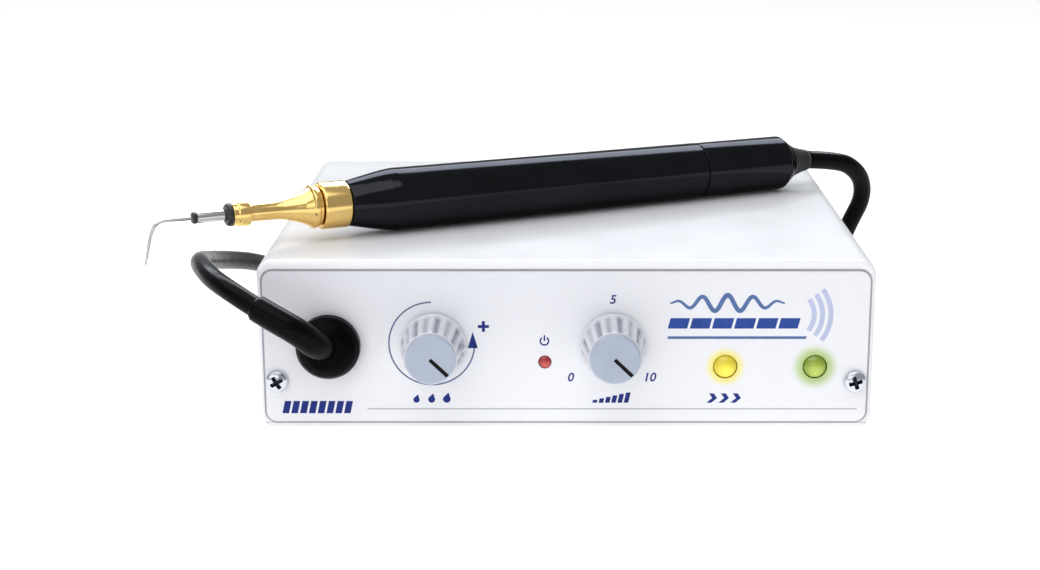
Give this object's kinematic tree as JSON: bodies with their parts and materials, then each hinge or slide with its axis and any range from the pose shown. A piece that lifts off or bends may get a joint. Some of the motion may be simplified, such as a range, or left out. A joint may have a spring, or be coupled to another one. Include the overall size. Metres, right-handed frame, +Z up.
{
  "type": "ultrasonic scaler",
  "caption": "Low white dental scaler unit with two turning knobs and status lamps on its front, and a tethered black handpiece with a gold insert and a bent tip lying across its top.",
  "frame": {"origin": "on the resting surface, below the middle of the whole outline without its cord", "axes": "+Z up, the front panel faces -Y, +X to the right as seen from the front, along the width of the case"},
  "size_m": [0.258, 0.3203, 0.0806],
  "materials": {
    "shell_white": "moulded white, soft gloss",
    "panel_film": "satin printed film",
    "panel_grey": "fine moulded texture",
    "rubber_black": "moulded rubber",
    "cord_black": "smooth black jacket",
    "bright_screw": "bright zinc plate",
    "nylon_black": "moulded nylon",
    "rocker_black": "moulded gloss",
    "knob_grey": "grey moulded",
    "knob_cap_blue": "satin",
    "led_red": "clear tinted lens",
    "led_yellow": "clear tinted lens, emissive",
    "led_green": "clear tinted lens, emissive",
    "brass_fitting": "turned",
    "plated_steel": "plated",
    "board_green": "solder mask",
    "capacitor_black": "sleeved",
    "sink_aluminium": "extruded",
    "winding_copper": "enamelled wire",
    "hose_clear": "clear tube",
    "barrel_black": "polished black",
    "insert_gold": "polished gold colour",
    "nose_black": "moulded",
    "tip_steel": "polished steel",
    "stack_nickel": "laminated nickel strips"
  },
  "bodies": {
    "case": {"top_cover": "shell_white", "base_chassis": "shell_white", "panel_overlay": "panel_film", "front_panel": "panel_film", "rear_panel": "panel_grey", "rubber_feet": "rubber_black", "cord_boot": "rubber_black", "cord_front": "cord_black", "cord_coil": "cord_black", "cord_rear": "cord_black", "front_screws": "bright_screw", "rear_screws": "bright_screw", "base_screws": "bright_screw", "mains_gland": "nylon_black", "gland_nut": "nylon_black", "boot_nut": "nylon_black", "fuse_holder": "nylon_black", "rocker_frame": "nylon_black", "pedal_socket": "nylon_black", "red_led": "led_red", "yellow_led": "led_yellow", "green_led": "led_green", "water_inlet": "brass_fitting", "water_inlet_nut": "brass_fitting", "water_valve_body": "brass_fitting", "water_bush_nut": "brass_fitting", "solenoid_valve": "brass_fitting", "power_potentiometer": "plated_steel", "power_bush_nut": "plated_steel", "transformer_core": "plated_steel", "circuit_board": "board_green", "display_board": "board_green", "capacitors": "capacitor_black", "heat_sink": "sink_aluminium", "transformer_winding": "winding_copper", "inlet_hose": "hose_clear", "outlet_hose": "hose_clear"},
    "water_control": {"water_shaft": "brass_fitting", "water_knob": "knob_grey", "water_knob_cap": "knob_cap_blue"},
    "power_control": {"power_shaft": "plated_steel", "power_knob": "knob_grey", "power_knob_cap": "knob_cap_blue"},
    "rocker": {"power_rocker": "rocker_black"},
    "fuse_cap": {"fuse_cap": "nylon_black"},
    "handpiece": {"handpiece_barrel": "barrel_black", "handpiece_rear_cap": "barrel_black", "coil_bobbin": "nylon_black", "drive_coil": "winding_copper", "cord_relief": "rubber_black"},
    "insert_collar": {"insert_collar": "insert_gold", "insert_o_ring": "nose_black"},
    "insert": {"insert_nose": "insert_gold", "nose_ring": "nose_black", "connecting_body": "tip_steel", "transducer_stack": "stack_nickel", "spray_tube": "tip_steel", "tip_seal": "nose_black", "scaler_tip": "tip_steel"}
  },
  "joints": [
    {"name": "water_knob_turn", "type": "hinge", "parent": "case", "child": "water_control", "pos_m": [-0.02453, -0.08838, 0.0312], "axis": [0, -1, 0], "range_deg": [-135, 135]},
    {"name": "power_knob_turn", "type": "hinge", "parent": "case", "child": "power_control", "pos_m": [0.03387, -0.08838, 0.0312], "axis": [0, -1, 0], "range_deg": [0, 268]},
    {"name": "mains_rocker", "type": "hinge", "parent": "case", "child": "rocker", "pos_m": [0.02647, 0.08712, 0.028], "axis": [-1, 0, 0], "range_deg": [0, 24]},
    {"name": "fuse_cap_turn", "type": "hinge", "parent": "case", "child": "fuse_cap", "pos_m": [0.05647, 0.08952, 0.028], "axis": [0, 1, 0], "range_deg": [0, 90]},
    {"name": "handpiece_lift", "type": "slide", "parent": "case", "child": "handpiece", "axis": [0, 0, 1], "range_m": [0, 0.08]},
    {"name": "insert_pull", "type": "slide", "parent": "handpiece", "child": "insert_collar", "axis": [-0.8914, -0.4532, 0.0043], "range_m": [0, 0.1]},
    {"name": "insert_turn", "type": "hinge", "parent": "insert_collar", "child": "insert", "pos_m": [-0.05583, -0.05078, 0.06995], "axis": [0.8914, 0.4532, -0.0043], "continuous": true}
  ]
}
